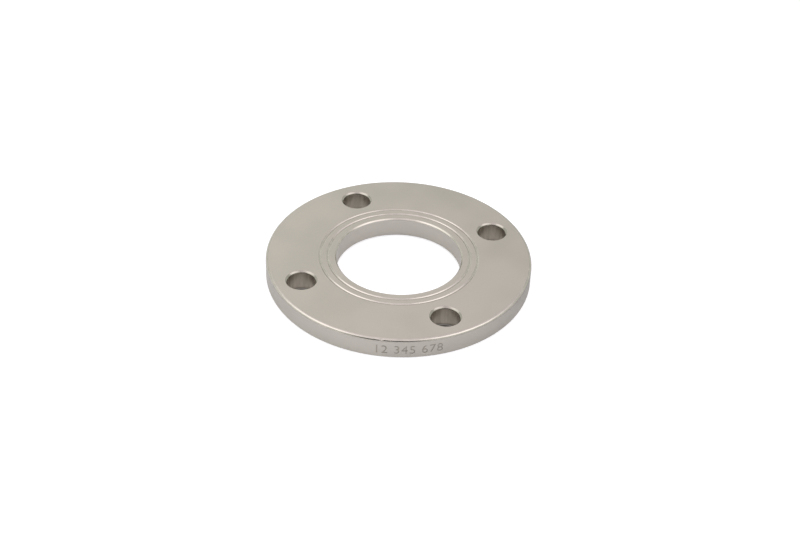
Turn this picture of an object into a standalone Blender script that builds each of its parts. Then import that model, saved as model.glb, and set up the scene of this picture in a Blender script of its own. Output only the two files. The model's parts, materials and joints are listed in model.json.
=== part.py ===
"""Slip on flange: a flat turned ring of stainless steel that is pushed over a pipe and welded to it.

It is one solid piece. The pipe passes through the bore, bolts pass through the holes around it,
and the fine grooves that are turned into the sealing face bite into the gasket.
The origin is the centre of the back face, and +Z points out of the sealing face. Units are metres.
"""
import math

import bmesh
import bpy

# The pipe, and the bore that slips over it
PIPE_DIAMETER = 0.0761
PIPE_CLEARANCE = 0.00045
BORE_CHAMFER = 0.0008

# The plate that the flange is turned from
THICKNESS = 0.0127
SEALING_LAND = 0.01625
RIM_WALL = 0.008
RIM_CHAMFER = 0.0008

# The bolt holes, which straddle the centre lines
BOLT_HOLE_DIAMETER = 0.0175
BOLT_HOLE_COUNT = 4
BOLT_HOLE_CHAMFER = 0.0005
CUTTER_OVERRUN = 0.002

# The gasket grooves in the sealing face
GROOVE_COUNT = 2
FIRST_GROOVE_INSET = 0.0045
GROOVE_PITCH = 0.0047
GROOVE_WIDTH = 0.0016
GROOVE_DEPTH = 0.0006

# Smoothness of the round shapes
TURNED_STEPS = 128
HOLE_STEPS = 48
SEAM_MERGE = 0.000001
SHARP_EDGE_ANGLE = math.radians(30)

# Satin stainless steel
STEEL_COLOUR = (0.50, 0.46, 0.41, 1.0)
STEEL_ROUGHNESS = 0.38
STEEL_METALLIC = 1.0

# Radii that follow from the sizes above: pipe, sealing land, bolt hole, rim wall
BORE_RADIUS = PIPE_DIAMETER / 2 + PIPE_CLEARANCE
BOLT_HOLE_RADIUS = BOLT_HOLE_DIAMETER / 2
BOLT_CIRCLE_RADIUS = BORE_RADIUS + SEALING_LAND + BOLT_HOLE_RADIUS
OUTER_RADIUS = BOLT_CIRCLE_RADIUS + BOLT_HOLE_RADIUS + RIM_WALL


def clear_scene():
    """Remove every object, so that only the flange is left at the end."""
    for old in list(bpy.data.objects):
        bpy.data.objects.remove(old, do_unlink=True)


def groove_section(index):
    """One V groove of the sealing face, from its inner lip over its root to its outer lip."""
    centre = BORE_RADIUS + FIRST_GROOVE_INSET + index * GROOVE_PITCH
    return [
        (centre - GROOVE_WIDTH / 2, THICKNESS),
        (centre, THICKNESS - GROOVE_DEPTH),
        (centre + GROOVE_WIDTH / 2, THICKNESS),
    ]


def flange_section():
    """The ring's section as (radius, height) points: out over the sealing face and down the rim."""
    section = [
        (BORE_RADIUS, THICKNESS - BORE_CHAMFER),
        (BORE_RADIUS + BORE_CHAMFER, THICKNESS),
    ]
    for index in range(GROOVE_COUNT):
        section += groove_section(index)
    section += [
        (OUTER_RADIUS - RIM_CHAMFER, THICKNESS),
        (OUTER_RADIUS, THICKNESS - RIM_CHAMFER),
        (OUTER_RADIUS, RIM_CHAMFER),
        (OUTER_RADIUS - RIM_CHAMFER, 0.0),
        (BORE_RADIUS + BORE_CHAMFER, 0.0),
        (BORE_RADIUS, BORE_CHAMFER),
    ]
    return section


def bolt_hole_section():
    """A bolt hole's section from its axis: a cone at each face and the straight wall between them."""
    mouth = BOLT_HOLE_RADIUS + BOLT_HOLE_CHAMFER + CUTTER_OVERRUN
    return [
        (0.0, THICKNESS + CUTTER_OVERRUN),
        (mouth, THICKNESS + CUTTER_OVERRUN),
        (BOLT_HOLE_RADIUS, THICKNESS - BOLT_HOLE_CHAMFER),
        (BOLT_HOLE_RADIUS, BOLT_HOLE_CHAMFER),
        (mouth, -CUTTER_OVERRUN),
        (0.0, -CUTTER_OVERRUN),
    ]


def turned_mesh(name, section, steps):
    """Spin a section once round the Z axis into a closed mesh with its faces pointing out."""
    lathe = bmesh.new()
    points = [lathe.verts.new((radius, 0.0, height)) for radius, height in section]
    lines = [lathe.edges.new(pair) for pair in zip(points, points[1:])]
    touches_axis = section[0][0] == 0.0
    if not touches_axis:
        lines.append(lathe.edges.new((points[-1], points[0])))
    bmesh.ops.spin(
        lathe,
        geom=points + lines,
        cent=(0.0, 0.0, 0.0),
        axis=(0.0, 0.0, 1.0),
        angle=2 * math.pi,
        steps=steps,
    )
    bmesh.ops.remove_doubles(lathe, verts=lathe.verts, dist=SEAM_MERGE)
    bmesh.ops.recalc_face_normals(lathe, faces=lathe.faces)
    mesh = bpy.data.meshes.new(name)
    lathe.to_mesh(mesh)
    lathe.free()
    return mesh


def add_object(name, mesh):
    """Put a mesh into the scene as a named object."""
    thing = bpy.data.objects.new(name, mesh)
    bpy.context.scene.collection.objects.link(thing)
    return thing


def add_bolt_hole_cutters():
    """Stand one cutter at each place on the bolt circle, the first half a step off the X axis."""
    mesh = turned_mesh("bolt_hole_cutter", bolt_hole_section(), HOLE_STEPS)
    step = 2 * math.pi / BOLT_HOLE_COUNT
    cutters = []
    for index in range(BOLT_HOLE_COUNT):
        angle = (index + 0.5) * step
        cutter = add_object(f"bolt_hole_cutter_{index + 1}", mesh)
        cutter.location.x = BOLT_CIRCLE_RADIUS * math.cos(angle)
        cutter.location.y = BOLT_CIRCLE_RADIUS * math.sin(angle)
        cutter.hide_render = True
        cutter.display_type = "WIRE"
        cutters.append(cutter)
    return cutters


def drill(piece, cutters):
    """Cut the holes, keep the result as the piece's own mesh and put the cutters away."""
    for cutter in cutters:
        cut = piece.modifiers.new(cutter.name, "BOOLEAN")
        cut.operation = "DIFFERENCE"
        cut.solver = "EXACT"
        cut.object = cutter
    shaped = piece.evaluated_get(bpy.context.evaluated_depsgraph_get())
    piece.data = bpy.data.meshes.new_from_object(shaped)
    piece.modifiers.clear()
    for cutter in cutters:
        bpy.data.objects.remove(cutter, do_unlink=True)


def shade_round(mesh):
    """Shade the turned walls smooth and keep the chamfers and groove lips crisp."""
    mesh.shade_smooth()
    mesh.set_sharp_from_angle(angle=SHARP_EDGE_ANGLE)


def steel_material():
    """Satin stainless steel, warm grey as turned and lightly blasted."""
    steel = bpy.data.materials.new("satin_stainless")
    steel.use_nodes = True
    shader = steel.node_tree.nodes["Principled BSDF"]
    shader.inputs["Base Color"].default_value = STEEL_COLOUR
    shader.inputs["Metallic"].default_value = STEEL_METALLIC
    shader.inputs["Roughness"].default_value = STEEL_ROUGHNESS
    return steel


def build_flange():
    """Turn the ring, drill it, and give it its steel."""
    flange = add_object("flange", turned_mesh("flange", flange_section(), TURNED_STEPS))
    drill(flange, add_bolt_hole_cutters())
    shade_round(flange.data)
    flange.data.materials.clear()
    flange.data.materials.append(steel_material())
    return flange


clear_scene()
build_flange()
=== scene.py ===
"""A slip on flange of satin stainless steel, dressed for its picture.

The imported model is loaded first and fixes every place. One finely turned ring then stands for it, with
rounded edges, grooves with soft lips, drilled holes and a row of plain numbers cut into its rim.
Units are metres.
"""
import json
import math

import bmesh
import bpy
from mathutils import Matrix, Vector


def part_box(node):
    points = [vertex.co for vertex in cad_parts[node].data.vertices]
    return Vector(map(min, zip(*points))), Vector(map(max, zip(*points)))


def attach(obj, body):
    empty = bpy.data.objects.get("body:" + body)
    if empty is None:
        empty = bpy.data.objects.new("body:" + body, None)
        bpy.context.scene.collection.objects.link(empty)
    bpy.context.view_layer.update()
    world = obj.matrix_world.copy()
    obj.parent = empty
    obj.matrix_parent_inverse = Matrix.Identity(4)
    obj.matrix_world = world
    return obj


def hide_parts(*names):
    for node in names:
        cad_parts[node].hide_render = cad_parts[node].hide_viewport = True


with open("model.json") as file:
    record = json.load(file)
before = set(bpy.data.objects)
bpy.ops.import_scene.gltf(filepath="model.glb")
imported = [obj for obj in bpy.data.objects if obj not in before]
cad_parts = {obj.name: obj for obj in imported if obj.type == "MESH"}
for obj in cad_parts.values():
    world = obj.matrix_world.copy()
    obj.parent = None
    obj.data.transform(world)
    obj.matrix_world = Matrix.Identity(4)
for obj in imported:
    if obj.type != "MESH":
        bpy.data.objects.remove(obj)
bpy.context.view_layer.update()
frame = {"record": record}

bl_info = {
    "name": "Slip On Flange",
    "version": (1, 0, 0),
    "blender": (4, 5, 0),
    "location": "3D View > Sidebar > Flange",
    "description": "Turns, drills and numbers a satin steel flange and sets up its studio",
    "category": "Add Mesh",
}

CAD_LOW, CAD_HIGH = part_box("flange")
CAD_OUTER_DIAMETER = CAD_HIGH.x - CAD_LOW.x
CAD_THICKNESS = CAD_HIGH.z - CAD_LOW.z
CAD_BOLT_CIRCLE = 2 * frame["record"]["mounts"][0]["pos_m"][0]

# The picture that the camera is matched to, in pixels
PICTURE_WIDTH = 800
SENSOR_WIDTH_MM = 36.0

# Places of the finishes in the flange's list of materials
FACE, RIM, BORE, EDGE, HOLE, LIP, NUMBER = range(7)

RING_NAME = "turned_flange"

# How finely the round shapes are made, and how near two points lie that are joined
RING_STEPS = 384
DRILL_STEPS = 128
ARC_STEP = math.radians(9)
BALL_SUBDIVISIONS = 5
SEAM_MERGE = 1e-7

# Rounding of a broken edge, as a share of the break: nearly a full round on the rim, crisp in the bore
RIM_SOFTNESS = 1.6
HOLE_SOFTNESS = 0.6
BORE_SOFTNESS = 0.35

# Rounding of a bolt hole's break at the face, as a share of its rounding at the wall
HOLE_LIP_SHARE = 0.7

# Rounding of a groove, as a share of half its width
GROOVE_LIP_SOFTNESS = 0.6
GROOVE_ROOT_SOFTNESS = 0.8

# A facet is flat face where its normal is more upright than the first, and wall below the second
FACE_NORMAL = 0.9999
WALL_NORMAL = 0.0001

# Edges that turn by more than this stay crisp
CRISP_EDGE = math.radians(35)

# Share of the thickness that stays clear of figures along each edge of the rim
PLAIN_RIM = 0.12

# The figures: height as a share of the font's size, change of their outline, and smoothness
FIGURE_SHARE = 0.72
FIGURE_OFFSET = -0.00004
FIGURE_CURVE_STEPS = 6
FIGURE_MERGE = 1e-6

# Fineness of the blasted grain and of the marks that facing and turning leave, as noise scales
GRAIN_SCALE = 3200.0
FACING_SCALE = 5200.0
TURNING_SCALE = 4200.0

# Roughness of the drilled walls and of the cut figures
HOLE_ROUGHNESS = 0.4
NUMBER_ROUGHNESS = 0.6

# Where the lamps hang, round from the camera to the right and up from the table
KEY_ACROSS, KEY_ELEVATION = math.radians(-80), math.radians(46)
FILL_ACROSS, FILL_ELEVATION = math.radians(60), math.radians(50)
LAMP_DISTANCE = 0.9
LAMP_SIZE = 0.75

# The table's reach from the middle, its gap under the flange, and the nearest thing that the camera sees
TABLE_REACH = 3.0
TABLE_GAP = 0.00005
NEAREST_SEEN = 0.01

# The painted shadow on the table is full this far in from the rim and the bore, and fades over this width
SHADOW_INSET = 0.0035
SHADOW_FADE = 0.002

# The table all but touches the flange from this far in from the bore, the rim and a bolt hole; there it
# glows as painted light for the flange's underside to mirror
BORE_CONTACT = 0.0011
RIM_CONTACT = 0.0008
HOLE_CONTACT = 0.0006
CONTACT_FADE = 0.0002

# Colours of the table's painted shadow under the flange, and of its darker painted shadow far down in a bolt
# hole
SHADE = (0.32, 0.3, 0.265, 1.0)
DEEP_SHADE = (0.1, 0.09, 0.08, 1.0)

# Painted light: the table's glow as the bore mirrors it
LIGHT_IN_BORE = 0.135

# Tints of the light tent
GREENISH = (0.96, 1.0, 0.945, 1.0)
PINKISH = (1.0, 0.958, 1.0, 1.0)

BLACK = (0.0, 0.0, 0.0, 1.0)
WHITE = (1.0, 1.0, 1.0, 1.0)


class FlangeSizes(bpy.types.PropertyGroup):
    """The sizes that the lathe and the drill work to."""

    outer_diameter: bpy.props.FloatProperty(
        name="Outer diameter", description="Across the rim", default=CAD_OUTER_DIAMETER,
        min=0.05, precision=4, subtype="DISTANCE", unit="LENGTH",
    )
    thickness: bpy.props.FloatProperty(
        name="Thickness", description="From the back face to the sealing face", default=CAD_THICKNESS,
        min=0.002, precision=4, subtype="DISTANCE", unit="LENGTH",
    )
    bore_diameter: bpy.props.FloatProperty(
        name="Bore", description="The hole that slips over the pipe", default=0.0757,
        min=0.01, precision=4, subtype="DISTANCE", unit="LENGTH",
    )
    bolt_circle: bpy.props.FloatProperty(
        name="Bolt circle", description="Diameter of the circle through the bolt holes",
        default=CAD_BOLT_CIRCLE, min=0.02, precision=4, subtype="DISTANCE", unit="LENGTH",
    )
    bolt_hole_diameter: bpy.props.FloatProperty(
        name="Bolt hole", description="Diameter of each bolt hole", default=0.0167,
        min=0.002, precision=4, subtype="DISTANCE", unit="LENGTH",
    )
    bolt_hole_count: bpy.props.IntProperty(
        name="Bolt holes", description="Holes evenly spaced on the bolt circle", default=4, min=1, max=24,
    )
    rim_chamfer: bpy.props.FloatProperty(
        name="Rim chamfer", description="Width of the broken edge round the sealing face", default=0.00095,
        min=0.0001, precision=5, subtype="DISTANCE", unit="LENGTH",
    )
    back_chamfer: bpy.props.FloatProperty(
        name="Back chamfer", description="Width of the broken edge round the back face", default=0.0005,
        min=0.0001, precision=5, subtype="DISTANCE", unit="LENGTH",
    )
    bore_chamfer: bpy.props.FloatProperty(
        name="Bore chamfer", description="Width of the broken edge round the bore", default=0.0008,
        min=0.0001, precision=5, subtype="DISTANCE", unit="LENGTH",
    )
    hole_chamfer: bpy.props.FloatProperty(
        name="Bolt hole chamfer", description="Width of the broken edge round each bolt hole",
        default=0.00095, min=0.0001, precision=5, subtype="DISTANCE", unit="LENGTH",
    )
    hole_back_chamfer: bpy.props.FloatProperty(
        name="Back hole chamfer", description="Width of the broken edge round each bolt hole at the back",
        default=0.0003, min=0.0001, precision=5, subtype="DISTANCE", unit="LENGTH",
    )
    groove_count: bpy.props.IntProperty(
        name="Grooves", description="Gasket grooves in the sealing face", default=2, min=0, max=8,
    )
    first_groove: bpy.props.FloatProperty(
        name="First groove", description="From the bore wall to the middle of the first groove",
        default=0.00515, min=0.001, precision=5, subtype="DISTANCE", unit="LENGTH",
    )
    groove_pitch: bpy.props.FloatProperty(
        name="Groove pitch", description="From one groove to the next", default=0.0047,
        min=0.001, precision=5, subtype="DISTANCE", unit="LENGTH",
    )
    groove_width: bpy.props.FloatProperty(
        name="Groove width", description="Across the mouth of a groove", default=0.0016,
        min=0.0002, precision=5, subtype="DISTANCE", unit="LENGTH",
    )
    groove_depth: bpy.props.FloatProperty(
        name="Groove depth", description="From the face to the bottom of a groove", default=0.00056,
        min=0.0001, precision=5, subtype="DISTANCE", unit="LENGTH",
    )
    number: bpy.props.StringProperty(
        name="Rim number", description="Plain figures cut into the rim", default="12 345 678",
    )
    number_height: bpy.props.FloatProperty(
        name="Number height", description="Height of a figure", default=0.0058,
        min=0.001, precision=5, subtype="DISTANCE", unit="LENGTH",
    )
    number_drop: bpy.props.FloatProperty(
        name="Number drop", description="How far the figures stand below the middle of the rim",
        default=0.00085, precision=5, subtype="DISTANCE", unit="LENGTH",
    )
    number_depth: bpy.props.FloatProperty(
        name="Number depth", description="How deep the figures are cut", default=0.00015,
        min=0.00001, precision=5, subtype="DISTANCE", unit="LENGTH",
    )
    number_spacing: bpy.props.FloatProperty(
        name="Number spacing", description="How widely the figures are set", default=1.1, min=0.5, max=3.0,
    )
    number_angle: bpy.props.FloatProperty(
        name="Number angle", description="Where the middle of the number stands, round from the X axis",
        default=math.radians(-65.9), subtype="ANGLE", unit="ROTATION",
    )
    nick_angle: bpy.props.FloatProperty(
        name="Nick angle", description="Where the small dent in the rim stands, round from the X axis",
        default=math.radians(-77.2), subtype="ANGLE", unit="ROTATION",
    )
    nick_width: bpy.props.FloatProperty(
        name="Nick width", description="Length of the small dent along the edge", default=0.0022,
        min=0.0001, precision=5, subtype="DISTANCE", unit="LENGTH",
    )
    nick_depth: bpy.props.FloatProperty(
        name="Nick depth", description="How deep the small dent is", default=0.00016,
        min=0.00001, precision=5, subtype="DISTANCE", unit="LENGTH",
    )


class FlangeFinish(bpy.types.PropertyGroup):
    """The colour and the gloss of the steel."""

    steel: bpy.props.FloatVectorProperty(
        name="Steel", description="Colour of the satin faces", default=(0.506, 0.471, 0.415),
        min=0.0, max=1.0, size=3, subtype="COLOR",
    )
    face_roughness: bpy.props.FloatProperty(
        name="Face roughness", description="How satin the flat faces are", default=0.36,
        min=0.0, max=1.0, subtype="FACTOR",
    )
    edge_roughness: bpy.props.FloatProperty(
        name="Edge roughness", description="How bright the broken edges are", default=0.24,
        min=0.0, max=1.0, subtype="FACTOR",
    )
    turned_depth: bpy.props.FloatProperty(
        name="Turned marks", description="Depth of the marks that the lathe leaves", default=0.000006,
        min=0.0, precision=6, subtype="DISTANCE", unit="LENGTH",
    )
    grain_depth: bpy.props.FloatProperty(
        name="Grain", description="Depth of the fine blasted grain", default=0.000008,
        min=0.0, precision=6, subtype="DISTANCE", unit="LENGTH",
    )


class FlangeStudio(bpy.types.PropertyGroup):
    """The camera, the lamps and the table."""

    elevation: bpy.props.FloatProperty(
        name="Elevation", description="How far above the table the camera stands",
        default=math.radians(37.141), subtype="ANGLE", unit="ROTATION",
    )
    turn: bpy.props.FloatProperty(
        name="Turn", description="How far the camera has walked round from the front, anticlockwise",
        default=math.radians(18.644), subtype="ANGLE", unit="ROTATION",
    )
    roll: bpy.props.FloatProperty(
        name="Roll", description="How far the camera leans over",
        default=math.radians(2.212), subtype="ANGLE", unit="ROTATION",
    )
    distance: bpy.props.FloatProperty(
        name="Distance", description="From the camera to the middle of the sealing face", default=0.890,
        min=0.1, subtype="DISTANCE", unit="LENGTH",
    )
    aside: bpy.props.FloatProperty(
        name="Aside", description="How far the camera stands to the right of the middle", default=0.000935,
        precision=5, subtype="DISTANCE", unit="LENGTH",
    )
    raised: bpy.props.FloatProperty(
        name="Raised", description="How far the camera stands above the middle, across its view",
        default=-0.006854, precision=5, subtype="DISTANCE", unit="LENGTH",
    )
    focal_pixels: bpy.props.FloatProperty(
        name="Focal length", description="In pixels of the picture", default=1472.0, min=100.0,
    )
    sky: bpy.props.FloatProperty(
        name="Sky", description="Strength of the light tent over the table", default=0.915, min=0.0,
    )
    key: bpy.props.FloatProperty(
        name="Key lamp", description="Power of the soft lamp on the left", default=1.52,
        min=0.0, subtype="POWER", unit="POWER",
    )
    fill: bpy.props.FloatProperty(
        name="Fill lamp", description="Power of the soft lamp on the right", default=1.25,
        min=0.0, subtype="POWER", unit="POWER",
    )
    table_tone: bpy.props.FloatProperty(
        name="Table", description="How pale the table is", default=0.645, min=0.0, max=1.0, subtype="FACTOR",
    )


class Signal:
    """One output of a shader node. Sums of signals and numbers add the Math nodes that work them out."""

    def __init__(self, graph, socket):
        self.graph = graph
        self.socket = socket

    def __add__(self, other):
        return self.graph.maths("ADD", self, other)

    def __radd__(self, other):
        return self.graph.maths("ADD", other, self)

    def __sub__(self, other):
        return self.graph.maths("SUBTRACT", self, other)

    def __rsub__(self, other):
        return self.graph.maths("SUBTRACT", other, self)

    def __mul__(self, other):
        return self.graph.maths("MULTIPLY", self, other)

    def __rmul__(self, other):
        return self.graph.maths("MULTIPLY", other, self)


class Graph:
    """Builds the nodes of one material or world."""

    def __init__(self, owner):
        owner.use_nodes = True
        self.tree = owner.node_tree
        self.tree.nodes.clear()

    def node(self, kind, settings=None, inputs=None, output=0):
        """Add a node: its settings first, then the values or links of its sockets."""
        made = self.tree.nodes.new(kind)
        for name, value in (settings or {}).items():
            setattr(made, name, value)
        for key, value in (inputs or {}).items():
            if isinstance(value, Signal):
                self.tree.links.new(value.socket, made.inputs[key])
            else:
                made.inputs[key].default_value = value
        return Signal(self, made.outputs[output]) if len(made.outputs) else made

    def maths(self, operation, first, second):
        """Work out one step of maths on two numbers."""
        return self.node("ShaderNodeMath", {"operation": operation}, {0: first, 1: second})

    def vector(self, operation, first, second=(0.0, 0.0, 0.0), output=0):
        """Work out one step of maths on two vectors. Output 1 is a number, such as a length."""
        return self.node("ShaderNodeVectorMath", {"operation": operation}, {0: first, 1: second}, output)

    def ramp(self, value, low, high, to_low=0.0, to_high=1.0):
        """Ease a value from one range to another, smooth at both ends."""
        return self.node(
            "ShaderNodeMapRange",
            {"interpolation_type": "SMOOTHSTEP"},
            {"Value": value, "From Min": low, "From Max": high, "To Min": to_low, "To Max": to_high},
        )

    def mix(self, factor, first, second):
        """Mix two colours."""
        return self.node(
            "ShaderNodeMix", {"data_type": "RGBA"}, {0: factor, 6: first, 7: second}, output=2
        )

    def noise(self, place, scale, roughness=0.5):
        """Cloudy noise in space, about 0.5 on average."""
        return self.node(
            "ShaderNodeTexNoise",
            {"noise_dimensions": "3D"},
            {"Vector": place, "Scale": scale, "Detail": 2.0, "Roughness": roughness},
        )

    def lines(self, along, scale):
        """Noise along one length, for the rings that a tool leaves."""
        return self.node(
            "ShaderNodeTexNoise",
            {"noise_dimensions": "1D"},
            {"W": along, "Scale": scale, "Detail": 3.0, "Roughness": 0.65},
        )

    def bump(self, height, distance, normal=None):
        """Raise or sink the surface by a height of 0 to 1 times a distance."""
        inputs = {"Height": height, "Distance": distance, "Strength": 1.0}
        if normal is not None:
            inputs["Normal"] = normal
        return self.node("ShaderNodeBump", None, inputs)


def grey(colour, level):
    """A colour made lighter or darker."""
    return tuple(min(1.0, part * level) for part in colour) + (1.0,)


def steel(
    name, colour, roughness, tool_marks, finish,
    tone=1.0, spread=0.05, cloud_scale=28.0, cloud_stretch=(1.0, 1.0, 1.0),
):
    """Satin stainless steel: clouded tone, blasted grain and the marks of one tool.

    The tone varies by the spread up and down. A stretch under 1 draws the clouds out along that axis.
    """
    material = bpy.data.materials.new(name)
    graph = Graph(material)
    place = graph.node("ShaderNodeTexCoord", output=3)
    clouds = graph.noise(graph.vector("MULTIPLY", place, cloud_stretch), cloud_scale)
    grain = graph.noise(place, GRAIN_SCALE, roughness=0.6)
    marks = tool_marks(graph, place)
    # The clouds give six tenths of the tone, and the marks and the grain two tenths each
    shade = graph.ramp(clouds, 0.3, 0.7) * 0.6 + graph.ramp(marks, 0.25, 0.75) * 0.2 + grain * 0.2
    dark = grey((colour[0] * 0.995, colour[1], colour[2] * 0.995), tone * (1 - spread))
    pale = grey((colour[0] * 1.005, colour[1], colour[2] * 1.005), tone * (1 + spread))
    tint = graph.mix(shade, dark, pale)
    gloss = graph.ramp(clouds, 0.3, 0.7, roughness - 0.03, roughness + 0.03) + (grain - 0.5) * 0.06
    relief = graph.bump(marks, finish.turned_depth)
    relief = graph.bump(grain, finish.grain_depth, relief)
    shader = graph.node(
        "ShaderNodeBsdfPrincipled",
        None,
        {"Base Color": tint, "Metallic": 1.0, "Roughness": gloss, "Normal": relief},
    )
    graph.node("ShaderNodeOutputMaterial", None, {"Surface": shader})
    return material


def flat_radius(graph, place):
    """How far a point lies from the bore's axis."""
    return graph.vector("LENGTH", graph.vector("MULTIPLY", place, (1.0, 1.0, 0.0)), output=1)


def facing_marks(graph, place):
    """Rings round the bore, where the lathe faced the plate."""
    return graph.lines(flat_radius(graph, place), FACING_SCALE)


def turning_marks(graph, place):
    """Rings along the axis, where the lathe or the drill cut a wall."""
    height = graph.node("ShaderNodeSeparateXYZ", None, {"Vector": place}, output=2)
    return graph.lines(height, TURNING_SCALE)


def finishes(finish):
    """The steel of each kind of surface, in the order of the places in the list of materials."""
    colour = tuple(finish.steel)
    face, edge = finish.face_roughness, finish.edge_roughness
    # Turned walls look a little bluer than the faces, and so do the broken edges
    turned = (colour[0], colour[1] * 1.02, colour[2] * 1.035)
    broken = (colour[0], colour[1], colour[2] * 1.015)
    return [
        steel("steel_face", colour, face, facing_marks, finish),
        # Painted light: the rim and the bore are the same steel as the faces, set a little paler (tone 1.02
        # and 1.08) so that they look more brightly lit.
        steel("steel_rim_painted_light", turned, face, turning_marks, finish, tone=1.02),
        steel("steel_bore_painted_light", turned, face, turning_marks, finish, tone=1.08),
        steel("steel_edge", broken, edge, facing_marks, finish, spread=0.08, cloud_scale=220.0),
        steel(
            "steel_hole", colour, HOLE_ROUGHNESS, turning_marks, finish,
            spread=0.2, cloud_scale=520.0, cloud_stretch=(1.0, 1.0, 0.2),
        ),
        # Painted shade: the lips of the bolt holes are the same steel set darker (tone 0.74), which dims
        # their glints.
        steel("steel_lip_painted_shade", colour, edge, facing_marks, finish, tone=0.74, spread=0.08, cloud_scale=220.0),
        steel("steel_number", colour, NUMBER_ROUGHNESS, facing_marks, finish, tone=0.8),
    ]


def rounded(corners):
    """Walk round (radius, height, rounding) corners and turn each rounding into an arc of points."""
    points = []
    count = len(corners)
    for index, (x, z, rounding) in enumerate(corners):
        here = Vector((x, z))
        if rounding == 0.0:
            points.append(here)
            continue
        before = (Vector(corners[index - 1][:2]) - here).normalized()
        after = (Vector(corners[(index + 1) % count][:2]) - here).normalized()
        half = before.angle(after) / 2
        centre = here + (before + after).normalized() * rounding / math.sin(half)
        start = here + before * rounding / math.tan(half) - centre
        sweep = start.angle_signed(here + after * rounding / math.tan(half) - centre)
        steps = max(2, round(abs(sweep) / ARC_STEP))
        for step in range(steps + 1):
            points.append(centre + Matrix.Rotation(-sweep * step / steps, 2) @ start)
    return points


def ring_corners(sizes):
    """The section of the ring, corner by corner: out over the sealing face, down the rim and back."""
    bore = sizes.bore_diameter / 2
    outer = sizes.outer_diameter / 2
    top = sizes.thickness
    lip, break_, back = sizes.bore_chamfer, sizes.rim_chamfer, sizes.back_chamfer
    lip_round, break_round, back_round = lip * BORE_SOFTNESS, break_ * RIM_SOFTNESS, back * RIM_SOFTNESS
    corners = [(bore, top - lip, lip_round), (bore + lip, top, lip_round)]
    for index in range(sizes.groove_count):
        middle = bore + sizes.first_groove + index * sizes.groove_pitch
        half = sizes.groove_width / 2
        corners += [
            (middle - half, top, half * GROOVE_LIP_SOFTNESS),
            (middle, top - sizes.groove_depth, half * GROOVE_ROOT_SOFTNESS),
            (middle + half, top, half * GROOVE_LIP_SOFTNESS),
        ]
    corners += [
        (outer - break_, top, break_round),
        (outer, top - break_, break_round),
        (outer, top * (1 - PLAIN_RIM), 0.0),
        (outer, top * PLAIN_RIM, 0.0),
        (outer, back, back_round),
        (outer - back, 0.0, back_round),
        (bore + lip, 0.0, lip_round),
        (bore, lip, lip_round),
    ]
    return corners


def hole_corners(sizes):
    """The section of the drill, from its axis: a soft countersink at each face, and a straight wall."""
    wall = sizes.bolt_hole_diameter / 2
    upper = sink_corners(wall, sizes.hole_chamfer)
    lower = [(x, -z, rounding) for x, z, rounding in reversed(sink_corners(wall, sizes.hole_back_chamfer))]
    return [(x, z + sizes.thickness, rounding) for x, z, rounding in upper] + lower


def sink_corners(wall, sink):
    """One soft countersink, from the drill's axis down to its wall, with its face at height zero.

    Above the face the drill flares out and ends level, so that it cuts the face cleanly.
    """
    round_ = sink * HOLE_SOFTNESS
    lip = wall + sink
    flare = sink * 2
    rise = flare * 0.25
    skim = sink * 0.05
    return [
        (0.0, rise, 0.0),
        (lip + flare, rise, 0.0),
        (lip, -skim, round_ * HOLE_LIP_SHARE),
        (wall, -sink, round_),
    ]


def spun(name, points, steps, closed):
    """Spin a section once round the Z axis into a closed mesh."""
    lathe = bmesh.new()
    corners = [lathe.verts.new((point.x, 0.0, point.y)) for point in points]
    edges = [lathe.edges.new(pair) for pair in zip(corners, corners[1:])]
    if closed:
        edges.append(lathe.edges.new((corners[-1], corners[0])))
    bmesh.ops.spin(
        lathe, geom=corners + edges, cent=(0, 0, 0), axis=(0, 0, 1), angle=2 * math.pi, steps=steps
    )
    bmesh.ops.remove_doubles(lathe, verts=lathe.verts, dist=SEAM_MERGE)
    bmesh.ops.recalc_face_normals(lathe, faces=lathe.faces)
    mesh = bpy.data.meshes.new(name)
    lathe.to_mesh(mesh)
    lathe.free()
    return mesh


def mark_ring_finishes(mesh, sizes):
    """Give each facet of the ring the finish of its kind of surface."""
    middle = (sizes.bore_diameter + sizes.outer_diameter) / 4
    for facet in mesh.polygons:
        flat = abs(facet.normal.z)
        if flat > FACE_NORMAL:
            facet.material_index = FACE
        elif flat > WALL_NORMAL:
            facet.material_index = EDGE
        else:
            facet.material_index = RIM if facet.center.xy.length > middle else BORE


def add_piece(name, mesh, materials):
    """Put a mesh into the scene. It takes its finishes the first time."""
    piece = bpy.data.objects.new(name, mesh)
    bpy.context.scene.collection.objects.link(piece)
    if not mesh.materials:
        for material in materials:
            mesh.materials.append(material)
    return piece


def cut(piece, cutters):
    """Take the cutters out of the piece and throw them away."""
    for cutter in cutters:
        step = piece.modifiers.new(cutter.name, "BOOLEAN")
        step.operation = "DIFFERENCE"
        step.solver = "EXACT"
        step.object = cutter
    bake_modifiers(piece)
    for cutter in cutters:
        bpy.data.objects.remove(cutter, do_unlink=True)


def bake_modifiers(piece):
    """Keep what the modifiers made as the piece's own mesh."""
    shaped = piece.evaluated_get(bpy.context.evaluated_depsgraph_get())
    piece.data = bpy.data.meshes.new_from_object(shaped)
    piece.modifiers.clear()


def smooth(piece):
    """Shade the round walls smooth and leave the flat faces flat."""
    piece.data.shade_smooth()
    piece.data.set_sharp_from_angle(angle=CRISP_EDGE)
    weighting = piece.modifiers.new("flat faces", "WEIGHTED_NORMAL")
    weighting.weight = 100
    weighting.keep_sharp = True
    bake_modifiers(piece)


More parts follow.
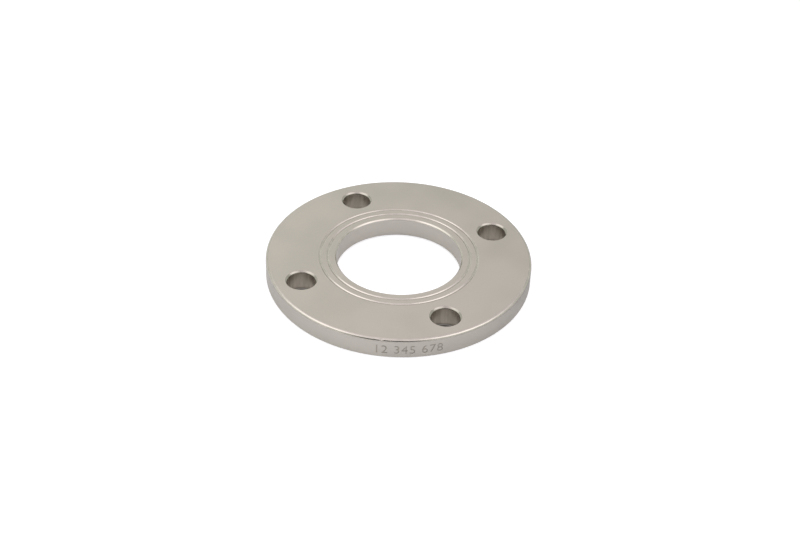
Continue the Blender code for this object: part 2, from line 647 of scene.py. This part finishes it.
def drill_cutters(sizes, materials):
    """One drill at each place on the bolt circle, half a step off the X axis."""
    mesh = spun("drill", rounded(hole_corners(sizes)), DRILL_STEPS, closed=False)
    for facet in mesh.polygons:
        facet.material_index = HOLE if abs(facet.normal.z) < WALL_NORMAL else LIP
    step = 2 * math.pi / sizes.bolt_hole_count
    cutters = []
    for index in range(sizes.bolt_hole_count):
        cutter = add_piece(f"drill_{index + 1}", mesh, materials)
        turn = Matrix.Rotation((index + 0.5) * step, 4, "Z")
        cutter.location = turn @ Vector((sizes.bolt_circle / 2, 0.0, 0.0))
        cutters.append(cutter)
    return cutters


def weld(mesh, distance):
    """Join the points that lie together and turn every facet outwards."""
    work = bmesh.new()
    work.from_mesh(mesh)
    bmesh.ops.remove_doubles(work, verts=work.verts, dist=distance)
    bmesh.ops.recalc_face_normals(work, faces=work.faces)
    work.to_mesh(mesh)
    work.free()


def nick_cutter(sizes, materials):
    """A small ball that dents the rim's upper edge."""
    half, depth = sizes.nick_width / 2, sizes.nick_depth
    radius = (half * half + depth * depth) / (2 * depth)
    ball = bmesh.new()
    bmesh.ops.create_icosphere(ball, subdivisions=BALL_SUBDIVISIONS, radius=radius)
    mesh = bpy.data.meshes.new("nick_stamp")
    ball.to_mesh(mesh)
    ball.free()
    for facet in mesh.polygons:
        facet.material_index = EDGE
        facet.use_smooth = True
    stamp = add_piece("nick_stamp", mesh, materials)
    away = (radius - depth) / math.sqrt(2)
    out = sizes.outer_diameter / 2 - sizes.rim_chamfer / 2 + away
    stamp.location = (
        out * math.cos(sizes.nick_angle),
        out * math.sin(sizes.nick_angle),
        sizes.thickness - sizes.rim_chamfer / 2 + away,
    )
    return stamp


def number_cutter(sizes, materials):
    """The rim number as a stamp: flat figures, bent round the rim and sunk into it."""
    text = bpy.data.curves.new("rim_number", "FONT")
    text.body = sizes.number
    text.align_x = "CENTER"
    text.align_y = "CENTER"
    text.size = sizes.number_height / FIGURE_SHARE
    text.space_character = sizes.number_spacing
    text.offset = FIGURE_OFFSET
    text.extrude = sizes.number_depth
    text.resolution_u = FIGURE_CURVE_STEPS
    flat = bpy.data.objects.new("rim_number", text)
    bpy.context.scene.collection.objects.link(flat)
    shaped = flat.evaluated_get(bpy.context.evaluated_depsgraph_get())
    mesh = bpy.data.meshes.new_from_object(shaped)
    bpy.data.objects.remove(flat, do_unlink=True)
    weld(mesh, FIGURE_MERGE)
    rim = sizes.outer_diameter / 2
    for vertex in mesh.vertices:
        angle = sizes.number_angle + vertex.co.x / rim
        out = rim + vertex.co.z
        height = sizes.thickness / 2 - sizes.number_drop + vertex.co.y
        vertex.co = (out * math.cos(angle), out * math.sin(angle), height)
    for facet in mesh.polygons:
        facet.material_index = NUMBER
    return add_piece("number_stamp", mesh, materials)


def camera_axes(studio):
    """The camera's right, up and forward directions, before it leans over."""
    turn = Matrix.Rotation(studio.turn, 3, "Z")
    rise, level = math.sin(studio.elevation), math.cos(studio.elevation)
    right = turn @ Vector((1.0, 0.0, 0.0))
    up = turn @ Vector((0.0, rise, level))
    forward = turn @ Vector((0.0, level, -rise))
    return right, up, forward


def add_camera(sizes, studio):
    """Stand the camera where the picture was taken from."""
    right, up, forward = camera_axes(studio)
    middle = Vector((0.0, 0.0, sizes.thickness))
    lens = bpy.data.cameras.new("camera")
    lens.sensor_width = SENSOR_WIDTH_MM
    lens.lens = studio.focal_pixels / PICTURE_WIDTH * SENSOR_WIDTH_MM
    lens.clip_start = NEAREST_SEEN
    camera = bpy.data.objects.new("camera", lens)
    bpy.context.scene.collection.objects.link(camera)
    lean, stand = math.sin(studio.roll), math.cos(studio.roll)
    leaning_right = stand * right + lean * up
    leaning_up = stand * up - lean * right
    facing = Matrix((leaning_right, leaning_up, -forward)).transposed().to_4x4()
    place = middle + studio.aside * right + studio.raised * up - studio.distance * forward
    camera.matrix_world = Matrix.Translation(place) @ facing
    bpy.context.scene.camera = camera


def add_lamp(name, studio, power, across, elevation):
    """A soft square lamp, placed by its direction from the flange as the camera sees it."""
    lamp = bpy.data.lights.new(name, "AREA")
    lamp.shape = "SQUARE"
    lamp.size = LAMP_SIZE
    lamp.energy = power
    holder = bpy.data.objects.new(name, lamp)
    bpy.context.scene.collection.objects.link(holder)
    level = math.cos(elevation)
    toward = Vector((math.sin(across) * level, -math.cos(across) * level, math.sin(elevation)))
    toward = Matrix.Rotation(studio.turn, 3, "Z") @ toward
    holder.location = toward * LAMP_DISTANCE
    holder.rotation_euler = toward.to_track_quat("Z", "Y").to_euler()


def light_tent(studio):
    """A white tent whose walls brighten upwards, and whose front opening is dark.

    Height and across are how far a direction of length 1 goes up and to the right.
    The camera itself sees plain white.
    """
    world = bpy.data.worlds.new("light_tent")
    bpy.context.scene.world = world
    graph = Graph(world)
    direction = graph.node("ShaderNodeTexCoord", output=0)
    height = graph.node("ShaderNodeSeparateXYZ", None, {"Vector": direction}, output=2)
    turn = Matrix.Rotation(studio.turn, 3, "Z")
    across = graph.vector("DOT_PRODUCT", direction, tuple(turn @ Vector((1.0, 0.0, 0.0))), output=1)

    # The walls brighten towards the roof, and a little at the foot. Their left half is the brighter one.
    walls = graph.ramp(height, 0.50, 0.72, 0.76, 1.34) + graph.ramp(height, 0.25, 0.5, 0.34, 0.0)
    sides = graph.ramp(across, -0.15, 0.15, 1.07, 0.82)

    # The opening at the front, the pale panel high on the right, and an even lift on the right
    opening = tent_patch(graph, direction, turn @ Vector((-0.11, -1.0, 0.17)), outer=35, inner=18)
    panel = tent_patch(graph, direction, turn @ Vector((0.62, 0.0, 0.78)), outer=28, inner=10)
    right = graph.ramp(across, 0.2, 0.45, 0.0, 0.14)
    level = (walls * sides + right + panel * 0.45) * (1 - opening * 0.95)
    seen = graph.node("ShaderNodeLightPath", output="Is Camera Ray")
    strength = graph.maths("MAXIMUM", level * studio.sky, seen)

    # Greenish low down and on the left, and pinkish high up and on the right
    tilted = height + graph.ramp(across, -0.15, 0.15, -0.05, 0.05)
    tint = graph.mix(graph.ramp(tilted, 0.56, 0.69), GREENISH, PINKISH)
    colour = graph.mix(seen, tint, WHITE)
    background = graph.node("ShaderNodeBackground", None, {"Color": colour, "Strength": strength})
    graph.node("ShaderNodeOutputWorld", None, {"Surface": background})


def tent_patch(graph, direction, middle, outer, inner):
    """A round patch of the tent: one inside the inner angle, easing to nothing at the outer, in degrees."""
    facing = graph.vector("DOT_PRODUCT", direction, tuple(middle.normalized()), output=1)
    return graph.ramp(facing, math.cos(math.radians(outer)), math.cos(math.radians(inner)))


def nearest_hole(graph, place, sizes, stretch):
    """How far a point of the table lies from the nearest bolt hole's axis.

    A matrix stretches the table first, so that equal distances can run round a hole in an oval.
    """
    rows = [graph.vector("DOT_PRODUCT", place, tuple(row), output=1) for row in stretch]
    point = graph.node("ShaderNodeCombineXYZ", None, {"X": rows[0], "Y": rows[1], "Z": rows[2]})
    nearest = sizes.outer_diameter
    for index in range(sizes.bolt_hole_count):
        turn = Matrix.Rotation(2 * math.pi * (index + 0.5) / sizes.bolt_hole_count, 3, "Z")
        axis = stretch @ turn @ Vector((sizes.bolt_circle / 2, 0.0, 0.0))
        nearest = graph.maths("MINIMUM", nearest, graph.vector("DISTANCE", point, tuple(axis), output=1))
    return nearest


def ring_between(graph, radius, low, high, fade):
    """One between two radii, easing to nothing over a fade outside each."""
    return graph.ramp(radius, low - fade, low) * graph.ramp(radius, high, high + fade, 1.0, 0.0)


def table_material(sizes, studio):
    """A matt table that the camera sees as white, with a painted shadow under the flange.

    The flange mirrors the table too, so its mirrored light, which holds painted light and shadow, is set
    apart from what the camera sees.
    From below the table is clear.
    """
    material = bpy.data.materials.new("table")
    graph = Graph(material)
    place = graph.node("ShaderNodeTexCoord", output=3)
    radius = flat_radius(graph, place)
    inner, outer = sizes.bore_diameter / 2, sizes.outer_diameter / 2
    wall = sizes.bolt_hole_diameter / 2
    turn = Matrix.Rotation(studio.turn, 3, "Z")
    seen = graph.node("ShaderNodeLightPath", output="Is Camera Ray")
    mirrored = graph.node("ShaderNodeLightPath", output="Is Glossy Ray")
    through_glass = graph.node("ShaderNodeLightPath", output="Is Transmission Ray")

    # Where a painted shadow lies under the flange, and where the flange all but touches the table
    painted_shadow_under_flange = ring_between(graph, radius, inner + SHADOW_INSET, outer - SHADOW_INSET, SHADOW_FADE)
    # Painted light: where it all but touches the flange the table glows for mirrored rays, so that the
    # underside shows
    painted_glow_underside = ring_between(graph, radius, inner + BORE_CONTACT, outer - RIM_CONTACT, CONTACT_FADE)
    nearest = nearest_hole(graph, place, sizes, Matrix.Identity(3))
    painted_glow_underside = painted_glow_underside * graph.ramp(nearest, wall + HOLE_CONTACT - CONTACT_FADE, wall + HOLE_CONTACT)

    # Painted light in a bolt hole, as its own wall mirrors it: a glowing patch that is long from front to
    # back
    long_patch = Matrix.Diagonal((1.35, 0.88, 0.0)) @ turn.transposed()
    nearest = nearest_hole(graph, place, sizes, long_patch)
    light_in_hole = graph.ramp(nearest, wall * 0.7, wall * 0.95, 0.29, 0.0)

    # What the camera sees of the table in a bolt hole: white in the middle, a painted shadow round that, and
    # a faint painted glow outside it
    wide_patch = Matrix.Diagonal((1.1, 1.23, 0.0)) @ turn.transposed()
    forward = turn @ Vector((0.0, wall * 0.08, 0.0))
    nearest = nearest_hole(graph, graph.vector("ADD", place, tuple(forward)), sizes, wide_patch)
    middle = graph.ramp(nearest, wall * 0.75, wall, 0.85, 0.0)
    beyond = graph.ramp(nearest, wall * 1.19, wall * 1.27, 0.0, 0.045)
    deep = seen * graph.ramp(nearest, wall * 1.16, wall * 1.24, 1.0, 0.0)

    # Painted light and shadow in what the flange mirrors: round the flange the table glows palest left of
    # the middle, and a painted shadow darkens it on the far right
    across = graph.vector("DOT_PRODUCT", place, tuple(turn @ Vector((1.0, 0.0, 0.0))), output=1)
    beside = graph.ramp(across, -0.05, 0.1, 0.21, 0.06) * graph.ramp(across, -0.095, -0.055, 0.3, 1.0)
    round_about = LIGHT_IN_BORE + graph.ramp(radius, inner, outer) * (beside - LIGHT_IN_BORE)
    painted_shadow_right = mirrored * graph.ramp(across, 0.073, 0.092)

    # The table's glow: white for the camera, and painted light in what the flange mirrors
    lift = (seen * 0.5 + mirrored * round_about + through_glass * 0.5) * (1 - painted_shadow_under_flange)
    lift = lift + mirrored * painted_shadow_under_flange * light_in_hole
    lift = lift + seen * painted_shadow_under_flange * (middle + beyond)
    lift = graph.maths("MAXIMUM", lift, mirrored * painted_glow_underside * 0.9)
    tone = (studio.table_tone, studio.table_tone, studio.table_tone * 1.03, 1.0)
    open_table = graph.mix(painted_shadow_right, tone, grey(tone[:3], 0.7))
    shaded_table = graph.mix(deep, SHADE, DEEP_SHADE)
    shader = graph.node(
        "ShaderNodeBsdfPrincipled",
        None,
        {
            "Base Color": graph.mix(painted_shadow_under_flange, open_table, shaded_table),
            "Roughness": 0.9,
            "Emission Color": graph.mix(lift, BLACK, WHITE),
            "Emission Strength": 1.0,
            "Alpha": 1 - graph.node("ShaderNodeNewGeometry", output="Backfacing"),
        },
    )
    graph.node("ShaderNodeOutputMaterial", None, {"Surface": shader})
    return material


class MESH_OT_turned_flange(bpy.types.Operator):
    """Turn the ring, drill it and cut its number"""

    bl_idname = "mesh.turned_flange"
    bl_label = "Turn Flange"
    bl_options = {"REGISTER", "UNDO"}

    def execute(self, context):
        sizes = context.scene.flange_sizes
        materials = finishes(context.scene.flange_finish)
        mesh = spun(RING_NAME, rounded(ring_corners(sizes)), RING_STEPS, closed=True)
        mark_ring_finishes(mesh, sizes)
        piece = add_piece(RING_NAME, mesh, materials)
        cut(piece, drill_cutters(sizes, materials))
        cut(piece, [nick_cutter(sizes, materials)])
        cut(piece, [number_cutter(sizes, materials)])
        smooth(piece)
        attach(piece, "root")
        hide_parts("flange")
        return {"FINISHED"}


class SCENE_OT_flange_studio(bpy.types.Operator):
    """Lay the table, put up the light tent and its lamps, and stand the camera"""

    bl_idname = "scene.flange_studio"
    bl_label = "Set Up Studio"
    bl_options = {"REGISTER", "UNDO"}

    def execute(self, context):
        sizes = context.scene.flange_sizes
        studio = context.scene.flange_studio
        table = bmesh.new()
        bmesh.ops.create_grid(table, x_segments=1, y_segments=1, size=TABLE_REACH)
        mesh = bpy.data.meshes.new("table")
        table.to_mesh(mesh)
        table.free()
        floor = add_piece("table", mesh, [table_material(sizes, studio)])
        floor.location.z = -TABLE_GAP
        light_tent(studio)
        add_lamp("key_lamp", studio, studio.key, KEY_ACROSS, KEY_ELEVATION)
        add_lamp("fill_lamp", studio, studio.fill, FILL_ACROSS, FILL_ELEVATION)
        add_camera(sizes, studio)
        context.scene.view_settings.view_transform = "Standard"
        return {"FINISHED"}


class VIEW3D_PT_flange(bpy.types.Panel):
    """The flange's sizes, its finish and its studio"""

    bl_label = "Slip On Flange"
    bl_space_type = "VIEW_3D"
    bl_region_type = "UI"
    bl_category = "Flange"

    def draw(self, context):
        layout = self.layout
        scene = context.scene
        for group, operator in (
            (scene.flange_sizes, MESH_OT_turned_flange.bl_idname),
            (scene.flange_finish, None),
            (scene.flange_studio, SCENE_OT_flange_studio.bl_idname),
        ):
            column = layout.column(align=True)
            for name in group.bl_rna.properties.keys():
                if name not in {"rna_type", "name"}:
                    column.prop(group, name)
            if operator:
                column.operator(operator)


CLASSES = (
    FlangeSizes,
    FlangeFinish,
    FlangeStudio,
    MESH_OT_turned_flange,
    SCENE_OT_flange_studio,
    VIEW3D_PT_flange,
)


def register():
    """Make the classes and the scene's three groups of settings known to Blender."""
    for each in CLASSES:
        bpy.utils.register_class(each)
    bpy.types.Scene.flange_sizes = bpy.props.PointerProperty(type=FlangeSizes)
    bpy.types.Scene.flange_finish = bpy.props.PointerProperty(type=FlangeFinish)
    bpy.types.Scene.flange_studio = bpy.props.PointerProperty(type=FlangeStudio)


def unregister():
    """Take them away again."""
    del bpy.types.Scene.flange_studio
    del bpy.types.Scene.flange_finish
    del bpy.types.Scene.flange_sizes
    for each in reversed(CLASSES):
        bpy.utils.unregister_class(each)


def main():
    """Build everything in order."""
    register()
    bpy.ops.mesh.turned_flange()
    bpy.ops.scene.flange_studio()
    bpy.context.view_layer.update()


if __name__ == "__main__":
    main()
